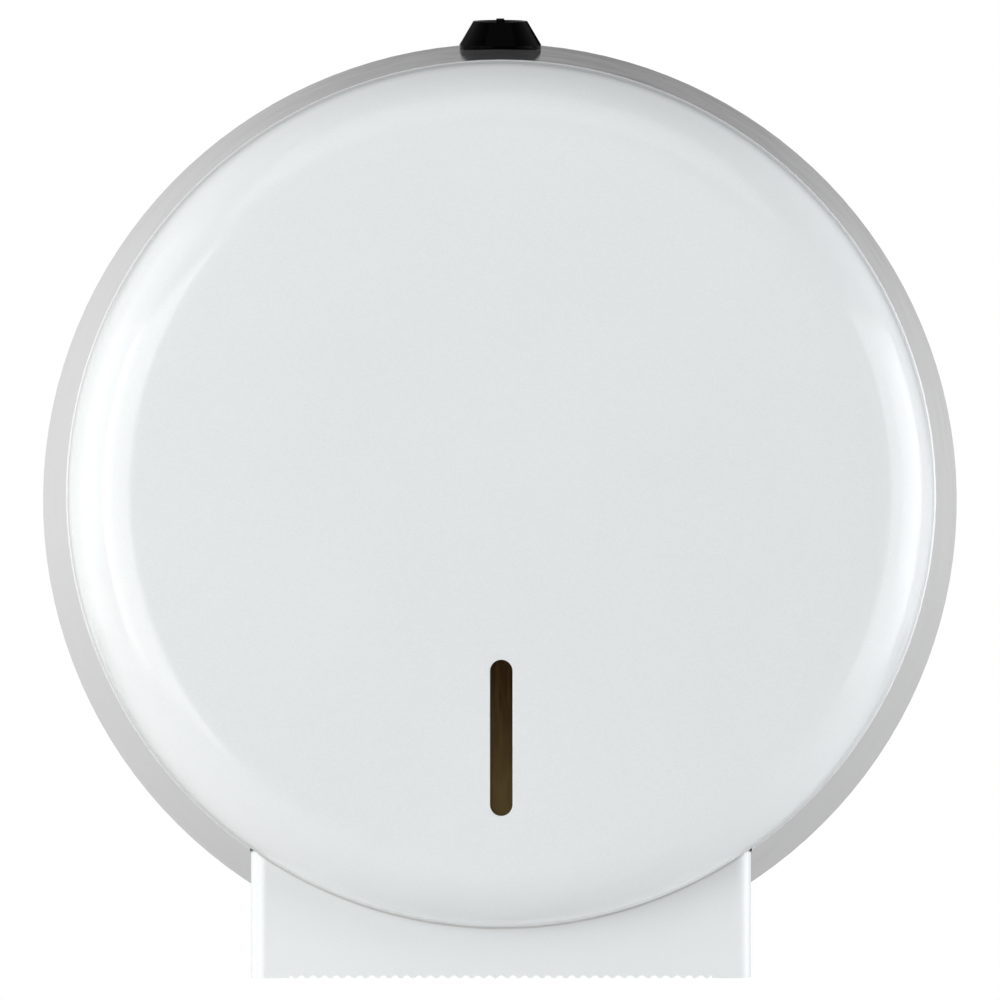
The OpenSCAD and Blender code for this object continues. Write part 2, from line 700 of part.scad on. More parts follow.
back_plate();
lock_catch();
catch_screws();
spindle();
spindle_screws();
hub_washers();
hub_clip();
hinge_pins();
rim_buffers();
front_cover();
side_ring();
paper_chute();
cover_screws();
chute_screws();
sight_window();
push_nuts();
hinge_bushes();
lock_bezel();
lock_nut();
lock_plug();
lock_cam();
cam_screw();
roll_hub();
hub_bushes();
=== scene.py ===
# %% [markdown]
# # A wall dispenser for jumbo rolls
#
# This notebook dresses a finished construction model. The model is already exact: every plate,
# screw and joint has its size and place. What it lacks is the look of moulded plastic, zinc and
# rubber, and the light that shows them. Each step says what the real piece is, how it could be
# made, and why it is made this way here.
#
# The origin is the middle of the dispenser on the wall. The wall is the plane y = 0, the front
# faces -Y, and Z points up. The scene is in metres. Sections, outlines and screws are written in
# millimetres, and MM turns those into metres.

import json
import math

import bmesh
import bpy
from mathutils import Matrix, Vector


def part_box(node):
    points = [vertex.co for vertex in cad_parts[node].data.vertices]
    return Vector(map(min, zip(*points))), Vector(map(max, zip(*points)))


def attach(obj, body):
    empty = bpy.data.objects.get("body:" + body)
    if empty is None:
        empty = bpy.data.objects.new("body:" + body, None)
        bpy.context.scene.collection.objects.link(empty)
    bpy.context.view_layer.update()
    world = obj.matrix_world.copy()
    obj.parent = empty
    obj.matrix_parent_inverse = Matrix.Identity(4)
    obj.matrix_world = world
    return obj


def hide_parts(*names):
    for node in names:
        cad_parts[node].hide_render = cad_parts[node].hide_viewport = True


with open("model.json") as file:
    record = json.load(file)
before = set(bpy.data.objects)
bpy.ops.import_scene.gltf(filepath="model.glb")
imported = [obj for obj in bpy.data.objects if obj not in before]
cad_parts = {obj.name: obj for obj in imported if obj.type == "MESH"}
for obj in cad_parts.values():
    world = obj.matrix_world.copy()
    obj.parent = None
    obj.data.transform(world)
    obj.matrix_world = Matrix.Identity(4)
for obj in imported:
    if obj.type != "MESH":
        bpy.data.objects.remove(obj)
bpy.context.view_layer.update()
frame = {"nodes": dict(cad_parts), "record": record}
nodes = frame["nodes"]
MM = 0.001

# %% [markdown]
# ## Node helpers
#
# Materials and Geometry Nodes are both graphs. A graph could be drawn by hand in the editor; here
# each one is written down, so that it can be read and changed. The first helper adds a node, sets
# its options and fills its sockets: a socket is linked, anything else is a plain value. The second
# writes the commonest node short.

# %% Two helpers for every graph
def add(tree, kind, inputs=(), **options):
    """Adds a node to tree and returns it. Inputs are (name or number, socket or value) pairs."""
    made = tree.nodes.new(kind)
    for option, value in options.items():
        setattr(made, option, value)
    for key, value in dict(inputs).items():
        if isinstance(value, bpy.types.NodeSocket):
            tree.links.new(value, made.inputs[key])
        else:
            made.inputs[key].default_value = value
    return made


def math_node(tree, operation, a, b=0.0, *more):
    """The result for a and b. Further values go through the same operation one by one."""
    result = add(tree, "ShaderNodeMath", {0: a, 1: b}, operation=operation).outputs[0]
    return math_node(tree, operation, result, *more) if more else result


print("node helpers ready")

# %% [markdown]
# ## Camera
#
# The product is seen from straight in front, from two metres away, with a long lens. A long lens
# keeps the circles round and lets the cone of the side ring show as a narrow, even band. The
# camera stands a little below the middle, so the band is thinner at the top than at the sides.

# %% Camera
CAMERA_AT = Vector((-0.006, -2.0, -0.0325))
LOOK_AT = Vector((0, 0, 0))
LENS, SENSOR_WIDTH = 236.6, 36  # mm


def new_object(name, data):
    made = bpy.data.objects.new(name, data)
    bpy.context.scene.collection.objects.link(made)
    return made


def facing(place, aim):
    """The turn that makes a camera or a lamp at place look at aim."""
    return (Vector(aim) - Vector(place)).to_track_quat("-Z", "Y").to_euler()


camera = new_object("camera", bpy.data.cameras.new("camera"))
camera.data.lens, camera.data.sensor_width = LENS, SENSOR_WIDTH
camera.location = CAMERA_AT
camera.rotation_euler = facing(CAMERA_AT, LOOK_AT)
bpy.context.scene.camera = camera
bpy.context.scene.view_settings.view_transform = "Standard"
print("camera", round((LOOK_AT - CAMERA_AT).length, 3), "m away")

# %% [markdown]
# ## Light
#
# White plastic on a white background needs light that comes from the sides. A soft lamp stands
# on each side, a little above the middle, and the glossy shoulder of the dish mirrors them as two
# clear bands. Wider lamps, one more from the left front and a weak one from above do the rest.
# One lamp behind lights the back plate for views from the wall's side. It isn't mirrored, so it
# doesn't show in the ring, and its narrow beam keeps off the floor, which the dish mirrors.

# %% Lamps
MIDDLE, BACK_PLATE = (0, -0.06, 0), (0, 0, 0)
BACK_SPREAD = 20  # degrees
WARM, COOL = (1.0, 0.998, 0.985), (0.984, 1.0, 1.014)
LAMPS = (  # name, place, what it faces, width and height in metres, watts, colour
    ("left_key", (-1.273, -0.414, 0.409), MIDDLE, 1.0, 1.2, 3.2, WARM),
    ("right_key", (1.383, -0.194, 0.098), MIDDLE, 0.8, 0.8, 2.2, COOL),
    ("left_wide", (-1.35, -0.35, 0.0), MIDDLE, 1.5, 1.3, 4.6, WARM),
    ("right_wide", (1.35, -0.35, 0.0), MIDDLE, 1.5, 1.3, 12.0, COOL),
    ("left_front", (-1.1, -1.3, 0.0), MIDDLE, 1.2, 1.3, 11.9, WARM),
    ("top", (0, -0.9, 1.0), MIDDLE, 1.6, 0.8, 3.6, COOL),
    ("back", (0, 1.5, 0.05), BACK_PLATE, 0.6, 0.5, 0.5, WARM),
)

for name, place, aim, width, height, power, colour in LAMPS:
    lamp = new_object(name, bpy.data.lights.new(name, "AREA"))
    lamp.data.shape = "RECTANGLE"
    lamp.data.size, lamp.data.size_y = width, height
    lamp.data.energy, lamp.data.color = power, colour
    lamp.location, lamp.rotation_euler = place, facing(place, aim)
back = bpy.data.objects["back"]
back.visible_glossy = False
back.data.spread = math.radians(BACK_SPREAD)
print("lamps:", len(bpy.data.lights))

# %% [markdown]
# The world is a dim grey for the light that it gives, so the sides away from the lamps aren't
# black. The camera sees it white, and so do reflections and see-through rays. Behind the
# dispenser, where only the glossy ring's grazing reflections look, the studio is darker
# towards the ceiling and a little darker to the right and towards the floor. That is what
# draws the ring's edge against the white background. The camera's side of the studio and its
# ceiling are dim in reflections too, so that black gloss plastic looks black.

# %% World
WORLD_FILL = (0.196, 0.198, 0.200)
# How the mirrored studio dims: two limits of a direction's part, and the dimming at each of them.
TO_RIGHT = (-0.25, 0.25, 0.11, 0.30)
TO_FLOOR = (0, -0.25, 0, 0.24)
TO_CEILING, CEILING_TILT, CEILING_BEND, CEILING_DIM = (0, 0.21, 0, 1), 0.15, 3.4, 0.76  # sets in slowly
BEHIND = (0.5, 0.85, 0, 1)
CAMERA_SIDE = (0.1, -0.4, 0, 0.7)
ABOVE = (0.7, 0.95, 0, 0.5)


def ramp(tree, value, start, end, low=0.0, high=1.0):
    """low until value reaches start, high once it is past end, and an even slope between them."""
    return add(tree, "ShaderNodeMapRange", {"Value": value, "From Min": start, "From Max": end,
        "To Min": low, "To Max": high}).outputs["Result"]


def parts_of(tree, vector):
    """The X, Y and Z sockets of a vector."""
    return add(tree, "ShaderNodeSeparateXYZ", {0: vector}).outputs


world = bpy.data.worlds.new("studio")
bpy.context.scene.world = world
world.use_nodes = True
tree = world.node_tree
tree.nodes.clear()
way = parts_of(tree, add(tree, "ShaderNodeTexCoord").outputs["Generated"])
lean = math_node(tree, "ADD", way["Z"], math_node(tree, "MULTIPLY", way["X"], CEILING_TILT))
bent = math_node(tree, "POWER", ramp(tree, lean, *TO_CEILING), CEILING_BEND)
to_ceiling = math_node(tree, "MULTIPLY", bent, CEILING_DIM)
shade = math_node(tree, "ADD", ramp(tree, way["X"], *TO_RIGHT), ramp(tree, way["Z"], *TO_FLOOR), to_ceiling)
backdrop = math_node(tree, "MULTIPLY", shade, ramp(tree, way["Y"], *BEHIND))
sides = math_node(tree, "MAXIMUM", ramp(tree, way["Y"], *CAMERA_SIDE), ramp(tree, way["Z"], *ABOVE))
dim = math_node(tree, "MAXIMUM", backdrop, sides)


def light(colour, strength=1.0):
    """An even background."""
    return add(tree, "ShaderNodeBackground", {"Color": (*colour, 1), "Strength": strength}).outputs[0]


def either(share, first, second):
    """The first background where share is 0, the second where it is 1."""
    return add(tree, "ShaderNodeMixShader", {0: share, 1: first, 2: second}).outputs[0]


WHITE = (1, 1, 1)
rays = add(tree, "ShaderNodeLightPath").outputs
seen = math_node(tree, "MAXIMUM", rays["Is Camera Ray"], rays["Is Transmission Ray"])
mirrored = light(WHITE, math_node(tree, "SUBTRACT", 1.0, dim))
glossy = either(rays["Is Glossy Ray"], light(WORLD_FILL), mirrored)
add(tree, "ShaderNodeOutputWorld", {"Surface": either(seen, glossy, light(WHITE))})
print("world fill", WORLD_FILL)

# %% [markdown]
# ## Plastics
#
# The dispenser is injection-moulded plastic. Its colour is even, but the surface isn't perfect:
# the mould leaves a very fine waviness, and the gloss drifts a little from place to place.
# One recipe makes all the plastics. Noise in object coordinates stays fixed to a piece as it
# moves. Broad patches and a fine speckle drive the colour, a third noise drives the roughness
# and a fourth the bump.
#
# The outer ring is moulded in a silver grey with a metallic pigment, which is between plastic and
# metal: it mirrors what stands on it more strongly than white plastic does.

# %% Colour, noise and relief
def grey(level, tint=(1, 1, 1)):
    """A linear colour from a display level of 0 to 255 and a tint."""
    v = level / 255
    v = v / 12.92 if v <= 0.04045 else ((v + 0.055) / 1.055) ** 2.4
    return tuple(v * t for t in tint)


NOISE_LOW, NOISE_HIGH = 0.3, 0.7  # nearly all noise values lie between these


def new_material(name):
    material = bpy.data.materials.new(name)
    material.use_nodes = True
    tree = material.node_tree
    return material, tree, tree.nodes["Principled BSDF"], add(tree, "ShaderNodeTexCoord").outputs["Object"]


def noise(tree, place, scale, detail=3.0):
    """Values near 0.5 that wander over the surface, with detail finer layers on top."""
    return add(tree, "ShaderNodeTexNoise", {"Vector": place, "Scale": scale, "Detail": detail}).outputs["Fac"]


def scaled(tree, place, scale):
    """Coordinates scaled by three factors. Noise on them is stretched where a factor is small."""
    return add(tree, "ShaderNodeMapping", {"Vector": place, "Scale": scale}).outputs["Vector"]


def spread(tree, value, low, high):
    """Maps noise to a range."""
    return ramp(tree, value, NOISE_LOW, NOISE_HIGH, low, high)


def colour_mix(tree, shader, share, first, second):
    """Base colour that goes from first to second with share. Each is a socket or a colour."""
    mix = add(tree, "ShaderNodeMix", {"Factor": share}, data_type="RGBA")
    for socket, colour in zip([s for s in mix.inputs if s.type == "RGBA"], (first, second)):
        if isinstance(colour, bpy.types.NodeSocket):
            tree.links.new(colour, socket)
        else:
            socket.default_value = (*colour, 1)
    tree.links.new(mix.outputs[2], shader.inputs["Base Color"])


def drift_colour(tree, shader, value, colour, drift):
    """Base colour that drifts by a share of itself with value."""
    low, high = ([min(c * (1 + d), 1) for c in colour] for d in (-drift, drift))
    colour_mix(tree, shader, value, low, high)


def bump(tree, shader, value, height):
    relief = add(tree, "ShaderNodeBump", {"Height": value, "Strength": 1.0, "Distance": height})
    tree.links.new(relief.outputs["Normal"], shader.inputs["Normal"])


print("surface helpers ready")

# %% Plastic recipe
PATCHES, SPECKLE, GLOSS, GRAIN = 14, 2600, 45, 900  # noise scales: about so many waves in a metre
SPECKLE_SHARE = 0.7  # of the drift in colour
GLOSS_DRIFT = 0.02
PLASTIC_IOR = 1.49


def plastic(name, colour, rough, grain=GRAIN, grain_height=0.0000015, drift=0.03,
        shine=0.5, metallic=0.0, stretch=1.0):
    """Moulded plastic: drifting colour and gloss, and a fine grain, which may be stretched along Y."""
    material, tree, shader, place = new_material(name)
    patches = spread(tree, noise(tree, place, PATCHES, 2), 0, 1 - SPECKLE_SHARE)
    speckle = spread(tree, noise(tree, place, SPECKLE, 1), 0, SPECKLE_SHARE)
    drift_colour(tree, shader, math_node(tree, "ADD", patches, speckle), colour, drift)
    gloss = spread(tree, noise(tree, place, GLOSS), rough - GLOSS_DRIFT, rough + GLOSS_DRIFT)
    tree.links.new(gloss, shader.inputs["Roughness"])
    drawn = scaled(tree, place, (grain, grain / stretch, grain))
    bump(tree, shader, noise(tree, drawn, 1, 2), grain_height)
    shader.inputs["IOR"].default_value = PLASTIC_IOR
    shader.inputs["Specular IOR Level"].default_value = shine
    shader.inputs["Metallic"].default_value = metallic
    return material


# %% Plastics
white_plastic = plastic("gloss_white_plastic", grey(240, (0.973, 1.0, 1.003)), rough=0.13)
# Painted light: the chute's white is a shade lighter than the dish's, standing in for light from below on its
# shaded face.
lightened_chute_plastic = plastic("gloss_chute_plastic", grey(245, (0.973, 1.0, 1.003)), rough=0.13)
ring_plastic = plastic("silver_grey_plastic", grey(168, (1.0, 1.0, 1.01)), rough=0.095, metallic=0.45,
    grain=2200, grain_height=0.000004, stretch=12)
back_plastic = plastic("satin_back_plastic", grey(205), rough=0.45, grain=1600, grain_height=0.00001)
hub_plastic = plastic("satin_hub_plastic", grey(226), rough=0.42, grain_height=0.000005)
bearing_plastic = plastic("ivory_bearing_plastic", grey(238, (1.0, 0.985, 0.93)), rough=0.5)
black_plastic = plastic("gloss_black_plastic", (0.0008, 0.0008, 0.001), rough=0.1, drift=0.1, shine=0.02)
plug_plastic = plastic("satin_black_plastic", (0.0008, 0.0008, 0.001), rough=0.42, drift=0.1, shine=0.02)
rubber = plastic("black_rubber", (0.02, 0.02, 0.02), rough=0.8, grain=2500, grain_height=0.00003)
print("plastics ready")

# %% [markdown]
# Three bands on the plastics paint light and shade into the colour. The front edge of the ring stands proud
# of its wall and catches the light, so a lighter band there is a painted highlight. The edge of the dish,
# beside it, is painted darker: painted shade in the crease between dish and ring. And a darker line in the
# joint where the chute meets the edge of the dish is a painted contact shadow. All three are bands that lie
# over the plastic, with a colour of their own and more roughness, so none of them is glossy. One lies where
# the distance from the wall is great, the others where the distance from the dispenser's axis is close to the
# dish's radius.

# %% Painted highlight on the ring's edge, painted shade on the dish's edge and in the joint
RING_EDGE = (0.10238, 0.1025)  # m from the wall: where the painted highlight starts and where it is full
DISH_EDGE = (0.1238, 0.1249)  # m from the axis, and so are the next two
JOINT_SHADOW_INNER, JOINT_SHADOW_OUTER = (0.12503, 0.12505), (0.12565, 0.1253)
JOINT_SHADOW_FRONT = -0.102  # the painted shadow lies in front of this depth


def tinted_band(material, where, colour, rough):
    """Lays colour and roughness over the surface by the share that where(tree, place) gives."""
    tree = material.node_tree
    shader = tree.nodes["Principled BSDF"]
    below, gloss = (shader.inputs[name].links[0].from_socket for name in ("Base Color", "Roughness"))
    share = where(tree, add(tree, "ShaderNodeTexCoord").outputs["Object"])
    colour_mix(tree, shader, share, below, colour)
    dull = add(tree, "ShaderNodeMix", {"Factor": share, "A": gloss, "B": rough}, data_type="FLOAT")
    tree.links.new(dull.outputs[0], shader.inputs["Roughness"])


# Painted highlight: the ring's front edge is lighter, as where it catches the light.
def front_edge_highlight(tree, place):
    return ramp(tree, math_node(tree, "MULTIPLY", parts_of(tree, place)["Y"], -1), *RING_EDGE)


def from_axis(tree, place):
    """Distance from the dispenser's axis, and Y."""
    xyz = parts_of(tree, place)
    flat = add(tree, "ShaderNodeCombineXYZ", {"X": xyz["X"], "Y": xyz["Z"]})
    radius = add(tree, "ShaderNodeVectorMath", {0: flat.outputs[0]}, operation="LENGTH")
    return radius.outputs["Value"], xyz["Y"]


# Painted contact shadow: a darker line on the chute where it meets the dish's edge.
def joint(tree, place):
    radius, y = from_axis(tree, place)
    return math_node(tree, "MULTIPLY", ramp(tree, radius, *JOINT_SHADOW_INNER), ramp(tree, radius, *JOINT_SHADOW_OUTER),
        math_node(tree, "LESS_THAN", y, JOINT_SHADOW_FRONT))


# Painted shade: the dish's outermost edge is darker, as in the crease beside the ring.
def dish_edge_shade(tree, place):
    return ramp(tree, from_axis(tree, place)[0], *DISH_EDGE)


for material, where, colour, rough in (
        (ring_plastic, front_edge_highlight, (0.70, 0.70, 0.71), 0.6),
        (lightened_chute_plastic, joint, (0.66, 0.65, 0.64), 0.6),
        (white_plastic, dish_edge_shade, (0.61, 0.62, 0.62), 0.7)):
    tinted_band(material, where, colour, rough)
    print(where.__name__, "band on", material.name)

# %% [markdown]
# ## Smoked window
#
# The window is a strip of brown see-through plastic. Behind it the dispenser is dark near the
# middle and a little lighter lower down, so the strip seems to change tone along its length.
# Real transparency would need a lit inside. Instead a slow ramp along Z in the strip's own coordinates paints
# that shade into the strip's colour: painted shade, dark at the top and lighter low down. It gives the same
# look from every side, and faint streaks show the flow of the moulding.

# %% Smoked plastic
WINDOW_TOP, WINDOW_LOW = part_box("sight_window")[1].z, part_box("sight_window")[0].z
STREAK_SCALE, STREAK_SHARE = (900, 900, 90), 0.12
RAMP_DARK, RAMP_LIGHT = 0.15, 0.8  # shares of the strip's length, from the top
WINDOW_GLOSS, WINDOW_DRIFT, WINDOW_SHINE = 60, 0.03, 0.08
WINDOW_GRAIN, WINDOW_GRAIN_HEIGHT = 700, 0.000002


def smoked(name, dark, light, rough):
    """Brown plastic with painted shade along it: dark at the window's top, lighter at its low end."""
    material, tree, shader, place = new_material(name)
    share = ramp(tree, parts_of(tree, place)["Z"], WINDOW_TOP, WINDOW_LOW)
    streaks = spread(tree, noise(tree, scaled(tree, place, STREAK_SCALE), 1), -STREAK_SHARE, STREAK_SHARE)
    tones = add(tree, "ShaderNodeValToRGB", {"Fac": math_node(tree, "ADD", share, streaks)})
    for stop, position, colour in zip(tones.color_ramp.elements, (RAMP_DARK, RAMP_LIGHT), (dark, light)):
        stop.position, stop.color = position, (*colour, 1)
    tree.links.new(tones.outputs["Color"], shader.inputs["Base Color"])
    gloss = spread(tree, noise(tree, place, WINDOW_GLOSS), rough - WINDOW_DRIFT, rough + WINDOW_DRIFT)
    tree.links.new(gloss, shader.inputs["Roughness"])
    bump(tree, shader, noise(tree, place, WINDOW_GRAIN, 2), WINDOW_GRAIN_HEIGHT)
    shader.inputs["Specular IOR Level"].default_value = WINDOW_SHINE
    return material


smoked_plastic = smoked("smoked_window_plastic", (0.021, 0.0095, 0.0028), (0.075, 0.049, 0.0185), rough=0.12)
print("window from", round(WINDOW_TOP, 4), "to", round(WINDOW_LOW, 4))

# %% [markdown]
# ## Metals
#
# The screws, pins and the catch are zinc-plated steel, which is grey with faint streaks from
# rolling and turning. The clip and the push-on nuts are hardened spring steel, which is darker.
# Metal is all reflection, so its look comes from how rough it is: stretched noise makes fine
# streaks without any texture image.

# %% Steel
METAL_DRIFT = 0.12  # share of the colour
SMOOTHER, ROUGHER = 0.08, 0.1  # how far the streaks take the roughness down and up
STREAK_HEIGHT = 0.000006  # m


def metal(name, colour, rough, streak):
    """Steel whose colour, roughness and relief all follow the same streaks."""
    material, tree, shader, place = new_material(name)
    lines = noise(tree, scaled(tree, place, streak), 1, 4)
    drift_colour(tree, shader, spread(tree, lines, 0, 1), colour, METAL_DRIFT)
    tree.links.new(spread(tree, lines, rough - SMOOTHER, rough + ROUGHER), shader.inputs["Roughness"])
    bump(tree, shader, lines, STREAK_HEIGHT)
    shader.inputs["Metallic"].default_value = 1.0
    return material


steel = metal("zinc_plated_steel", (0.62, 0.62, 0.60), 0.32, (300, 300, 2600))
spring_steel = metal("blued_spring_steel", (0.30, 0.30, 0.32), 0.38, (2200, 400, 400))
print("metals ready")

# %% [markdown]
# ## Dressing the nodes
#
# Each node of the construction names the finish that it takes, so one table dresses them all.
# The pieces that are made below take their finish from the same table. Two nodes have a finish of their own:
# the plug with the finger bar is duller than its housing, because fingers rub it, and the chute is painted a
# shade lighter than the dish. That lighter colour is painted light: it stands in for the light from below
# that the chute's face, shaded by the dish above it, doesn't get.

# %% A finish for every node
FINISH = {
    "white_plastic": white_plastic, "grey_plastic": ring_plastic, "back_plastic": back_plastic,
    "hub_plastic": hub_plastic, "bearing_plastic": bearing_plastic, "black_plastic": black_plastic,
    "smoked_plastic": smoked_plastic, "rubber": rubber, "steel": steel, "spring_steel": spring_steel,
}
OWN_FINISH = {"lock_plug": plug_plastic, "paper_chute": lightened_chute_plastic}
slot_of = {part["node"]: part["material_slot"] for part in frame["record"]["subparts"]}


def dress(mesh, node):
    """Gives mesh the finish of the node, and no other."""
    mesh.materials.clear()
    mesh.materials.append(OWN_FINISH.get(node, FINISH[slot_of[node]]))
    for face in mesh.polygons:
        face.material_index = 0


for name, node in nodes.items():
    dress(node.data, name)
print("dressed", len(nodes), "nodes")

# %% [markdown]
# ## Turned shapes
#
# Much of this dispenser is round: the dish, the lock's body, the screws. A lathe turns a section
# about an axis. Blender could do this with a Screw modifier, but a real moulding has a radius on
# every corner, and each corner has its own. So the section is drawn as a few corners, each with
# its own radius, and Geometry Nodes round them first and turn them afterwards. The corner
# radiuses can then be changed without drawing the section again.
#
# The tree works in four steps: the section becomes a curve, its corners are filleted, a flat grid
# takes one row of points from the curve for each step round the axis, and doubles are merged, which
# closes the seam and the poles. What this tree has in common with the next ones is made first.

# %% What the trees have in common
SHARP_ANGLE = 0.6  # radians; edges steeper than this stay sharp
MERGED = 0.000002  # m; points closer than this become one


def tree_with(name, **sockets):
    """A Geometry Nodes tree with named inputs, given as name=type."""
    tree = bpy.data.node_groups.new(name, "GeometryNodeTree")
    tree.interface.new_socket("Geometry", in_out="INPUT", socket_type="NodeSocketGeometry")
    for label, kind in sockets.items():
        tree.interface.new_socket(label, in_out="INPUT", socket_type="NodeSocket" + kind)
    tree.interface.new_socket("Geometry", in_out="OUTPUT", socket_type="NodeSocketGeometry")
    return tree, add(tree, "NodeGroupInput").outputs


def finish_tree(tree, geometry, material, sharp_angle=SHARP_ANGLE):
    """Realises instances, marks edges steeper than sharp_angle and sets the material."""
    whole = add(tree, "GeometryNodeRealizeInstances", {"Geometry": geometry}).outputs[0]
    angle = add(tree, "GeometryNodeInputMeshEdgeAngle").outputs["Unsigned Angle"]
    steep = math_node(tree, "GREATER_THAN", angle, sharp_angle)
    smooth = add(tree, "GeometryNodeSetShadeSmooth", {"Geometry": whole, "Shade Smooth": True}, domain="FACE")
    smooth = add(tree, "GeometryNodeSetShadeSmooth", {"Geometry": smooth.outputs[0], "Selection": steep,
        "Shade Smooth": False}, domain="EDGE")
    dressed = add(tree, "GeometryNodeSetMaterial", {"Geometry": smooth.outputs[0], "Material": material})
    add(tree, "NodeGroupOutput", {0: dressed.outputs[0]})


def round_grid(tree, segments, rows):
    """A flat grid for one turn, with each point's row and how far round it is, from 0 to 1."""
    grid = add(tree, "GeometryNodeMeshGrid", {"Vertices X": math_node(tree, "ADD", segments, 1),
        "Vertices Y": rows}).outputs["Mesh"]
    index = add(tree, "GeometryNodeInputIndex").outputs[0]
    column = math_node(tree, "FLOOR", math_node(tree, "DIVIDE", math_node(tree, "ADD", index, 0.5), rows))
    return grid, math_node(tree, "MODULO", index, rows), math_node(tree, "DIVIDE", column, segments)


def wrap(tree, grid, radius, turn, height, material, **finish):
    """Wraps grid round the Z axis, closes its seam and poles, and finishes the tree."""
    angle = math_node(tree, "MULTIPLY", turn, 2 * math.pi)
    place = add(tree, "ShaderNodeCombineXYZ", {
        "X": math_node(tree, "MULTIPLY", radius, math_node(tree, "COSINE", angle)),
        "Y": math_node(tree, "MULTIPLY", radius, math_node(tree, "SINE", angle)), "Z": height})
    moved = add(tree, "GeometryNodeSetPosition", {"Geometry": grid, "Position": place.outputs[0]}).outputs[0]
    closed = add(tree, "GeometryNodeMergeByDistance", {"Geometry": moved, "Distance": MERGED}).outputs[0]
    finish_tree(tree, closed, material, **finish)


print("edges sharp from", round(math.degrees(SHARP_ANGLE)), "degrees")

# %% The turning tree
def turning_tree():
    tree, given = tree_with("turning", Segments="Int", Material="Material")
    curve = add(tree, "GeometryNodeMeshToCurve", {"Mesh": given["Geometry"]}).outputs[0]
    radius = add(tree, "GeometryNodeInputNamedAttribute", {"Name": "fillet"}, data_type="FLOAT")
    steps = add(tree, "GeometryNodeInputNamedAttribute", {"Name": "steps"}, data_type="INT")
    section = add(tree, "GeometryNodeFilletCurve", {"Curve": curve, "Count": steps.outputs[0],
        "Radius": radius.outputs[0], "Limit Radius": True}, mode="POLY").outputs[0]
    size = add(tree, "GeometryNodeAttributeDomainSize", {0: section}, component="CURVE")
    grid, row, turn = round_grid(tree, given["Segments"], size.outputs["Point Count"])
    corner = add(tree, "GeometryNodeSampleIndex", {"Geometry": section,
        "Value": add(tree, "GeometryNodeInputPosition").outputs[0], "Index": row},
        data_type="FLOAT_VECTOR", domain="POINT")
    flat = parts_of(tree, corner.outputs[0])
    wrap(tree, grid, flat["X"], turn, flat["Z"], given["Material"])
    return tree


TURNING = turning_tree()
print("turning tree:", len(TURNING.nodes), "nodes")

# %% [markdown]
# The next helpers run a tree. A modifier's inputs are set by their identifiers before the object
# is first evaluated. The evaluated result becomes a plain mesh, and the modifier goes away. A
# turned mesh can come out inside out, so its normals are worked out again from its closed shape.
#
# A section is a list of corners, each with its radius from the axis, its height, its fillet and
# the number of steps in that fillet.

# %% Running a tree
def set_inputs(modifier, values):
    for socket in modifier.node_group.interface.items_tree:
        if socket.in_out == "INPUT" and socket.name in values:
            modifier[socket.identifier] = values[socket.name]


def baked(piece):
    """Turns a piece with modifiers into a piece with a plain mesh of the same name."""
    bpy.context.view_layer.update()
    evaluated = piece.evaluated_get(bpy.context.evaluated_depsgraph_get())
    mesh = bpy.data.meshes.new_from_object(evaluated)
    name = piece.name
    bpy.data.objects.remove(piece)
    mesh.name = name
    return new_object(name, mesh)


def outward(mesh):
    """Drops loose edges and makes all faces point outwards."""
    work = bmesh.new()
    work.from_mesh(mesh)
    bmesh.ops.delete(work, geom=[e for e in work.edges if not e.link_faces], context="EDGES")
    bmesh.ops.recalc_face_normals(work, faces=work.faces)
    work.to_mesh(mesh)
    work.free()


def run_tree(name, mesh, tree, **values):
    piece = new_object(name, mesh)
    modifier = piece.modifiers.new(name, "NODES")
    modifier.node_group = tree
    set_inputs(modifier, values)
    piece = baked(piece)
    outward(piece.data)
    return piece


def turned(name, corners, segments, material, place=Matrix()):
    """Turns corners, in mm, about Z in so many segments, and then moves the mesh to place."""
    radii, heights, fillets, steps = zip(*corners)
    mesh = bpy.data.meshes.new(name)
    mesh.from_pydata([(r * MM, 0, h * MM) for r, h in zip(radii, heights)],
        [(i, i + 1) for i in range(len(corners) - 1)], [])
    mesh.attributes.new("fillet", "FLOAT", "POINT").data.foreach_set("value", [f * MM for f in fillets])
    mesh.attributes.new("steps", "INT", "POINT").data.foreach_set("value", steps)
    piece = run_tree(name, mesh, TURNING, Segments=segments, Material=material)
    piece.data.transform(place)
    return piece


SHARP = (0, 1)  # a corner without a fillet
ON_WALL = Matrix.Rotation(math.pi / 2, 4, "X")  # turns height into distance from the wall
print("trees can run")

# %% [markdown]
# ## Repeated pieces
#
# Screws, bosses and studs are the same piece many times over. A second tree puts one unit on each
# point of a small mesh. Every point carries the direction that the unit's Z axis takes, so one
# tree serves screws that point to the wall and screws that point sideways.

# %% The placing tree
def placing_tree():
    tree, given = tree_with("placing", Unit="Object", Material="Material")
    unit = add(tree, "GeometryNodeObjectInfo", {"Object": given["Unit"]}).outputs["Geometry"]
    way = add(tree, "GeometryNodeInputNamedAttribute", {"Name": "way"}, data_type="FLOAT_VECTOR").outputs[0]
    turn = add(tree, "FunctionNodeAlignRotationToVector", {"Vector": way}, axis="Z").outputs[0]
    placed = add(tree, "GeometryNodeInstanceOnPoints", {"Points": given["Geometry"], "Instance": unit,
        "Rotation": turn}).outputs[0]
    finish_tree(tree, placed, given["Material"])
    return tree


PLACING = placing_tree()


def set_out(name, unit, places, material):
    """One unit at each (point, direction) of places."""
    points, ways = zip(*places)
    mesh = bpy.data.meshes.new(name)
    mesh.from_pydata(points, [], [])
    directions = mesh.attributes.new("way", "FLOAT_VECTOR", "POINT")
    directions.data.foreach_set("vector", [part for way in ways for part in way])
    return run_tree(name, mesh, PLACING, Unit=unit, Material=material)


print("placing tree:", len(PLACING.nodes), "nodes")

